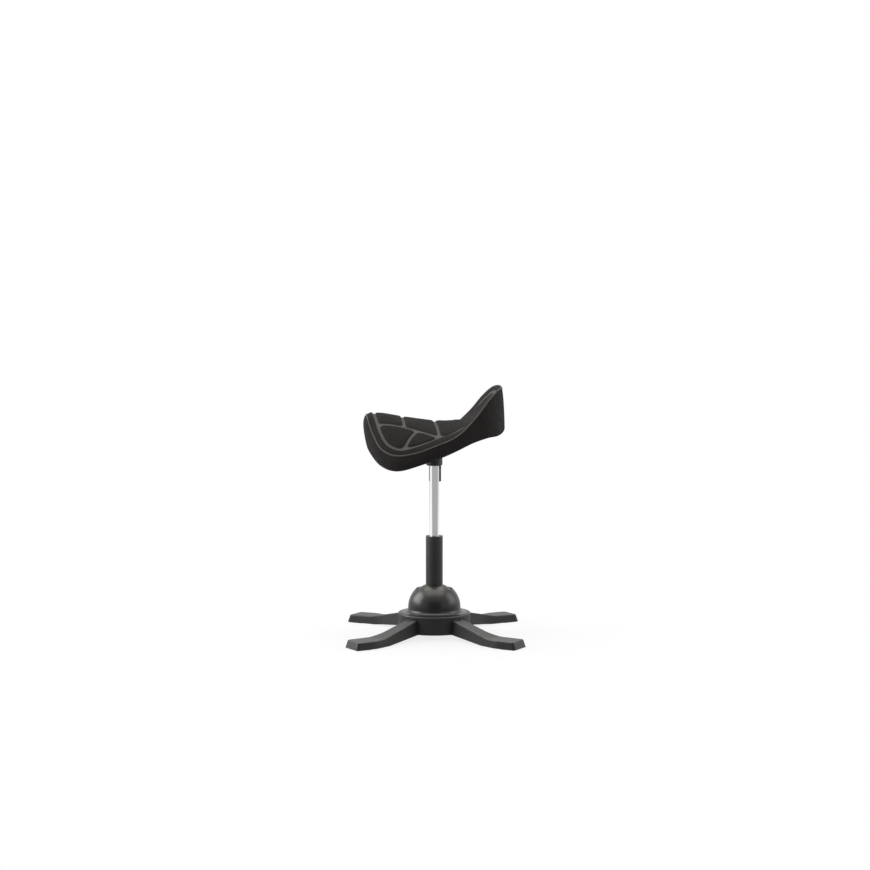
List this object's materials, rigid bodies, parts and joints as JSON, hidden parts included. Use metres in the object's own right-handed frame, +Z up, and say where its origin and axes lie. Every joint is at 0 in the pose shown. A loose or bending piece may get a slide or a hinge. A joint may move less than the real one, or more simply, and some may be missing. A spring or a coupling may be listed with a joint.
{
  "type": "balance chair",
  "caption": "Saddle-seat balance chair with a quilted fabric seat on a gas lift that swivels and rocks in a domed base with splayed legs and turned-out feet.",
  "frame": {"origin": "floor level under the column, at the middle of the base", "axes": "+Z up along the column, -X towards the front of the seat, +Y towards the sitter's right"},
  "size_m": [0.5248, 0.5612, 0.7315],
  "materials": {
    "casting_black": "satin",
    "shell_black": "gloss",
    "tube_black": "satin",
    "rubber_black": "matte",
    "plastic_black": "matte",
    "nylon_white": "matte",
    "steel_bare": "satin",
    "fastener_zinc": "satin",
    "lift_chrome": "polished",
    "foam_grey": "matte",
    "fabric_dark": "matte"
  },
  "bodies": {
    "base": {"hub_casting": "casting_black", "leg_rear_right": "casting_black", "leg_front_right": "casting_black", "leg_front_left": "casting_black", "leg_rear_left": "casting_black", "foot_pad_rear_right": "rubber_black", "foot_pad_front_right": "rubber_black", "foot_pad_front_left": "rubber_black", "foot_pad_rear_left": "rubber_black", "leg_bolts": "fastener_zinc", "socket_cup": "steel_bare", "clamp_ring": "steel_bare", "clamp_screws": "fastener_zinc", "bump_ring": "rubber_black", "dome_cover": "shell_black", "dome_screws": "fastener_zinc"},
    "liner": {"bearing_liner": "nylon_white"},
    "column": {"ball_hub": "steel_bare", "pressure_plate": "steel_bare", "outer_tube": "tube_black", "guide_bush": "plastic_black", "dome_cap": "shell_black", "thrust_washer_lower": "steel_bare", "bearing_cage": "nylon_white", "bearing_balls": "steel_bare"},
    "spindle": {"piston_rod": "steel_bare", "piston": "steel_bare", "thrust_washer_upper": "steel_bare", "retaining_clip": "steel_bare", "bump_stop": "rubber_black"},
    "lift": {"pressure_tube": "lift_chrome", "rod_gland": "steel_bare", "taper_socket": "tube_black", "mount_tray": "tube_black", "tray_bolts": "fastener_zinc", "pan_inserts": "steel_bare", "lever_pin": "steel_bare", "seat_pan": "plastic_black", "seat_foam": "foam_grey", "seat_cover": "fabric_dark"},
    "lever": {"release_lever": "steel_bare", "lever_paddle": "plastic_black"},
    "button": {"release_button": "steel_bare"}
  },
  "joints": [
    {"name": "tilt_side", "type": "hinge", "parent": "base", "child": "liner", "pos_m": [0, 0, 0.082], "axis": [1, 0, 0], "range_deg": [-8, 8], "stiffness_Nm_per_rad": 420},
    {"name": "tilt_fore_aft", "type": "hinge", "parent": "liner", "child": "column", "pos_m": [0, 0, 0.082], "axis": [0, 1, 0], "range_deg": [-8, 8], "stiffness_Nm_per_rad": 420},
    {"name": "swivel", "type": "hinge", "parent": "column", "child": "spindle", "pos_m": [0, 0, 0.3], "axis": [0, 0, 1], "continuous": true},
    {"name": "height", "type": "slide", "parent": "spindle", "child": "lift", "axis": [0, 0, 1], "range_m": [-0.18, 0]},
    {"name": "lever_lift", "type": "hinge", "parent": "lift", "child": "lever", "pos_m": [0, 0.032, 0.5513], "axis": [1, 0, 0], "range_deg": [0, 6], "stiffness_Nm_per_rad": 3, "springref_deg": -5.73},
    {"name": "button_press", "type": "slide", "parent": "lift", "child": "button", "axis": [0, 0, -1], "range_m": [0, 0.0038]}
  ],
  "couplings": [
    {"joint": "button_press", "follows": "lever_lift", "m_per_rad": 0.036}
  ]
}
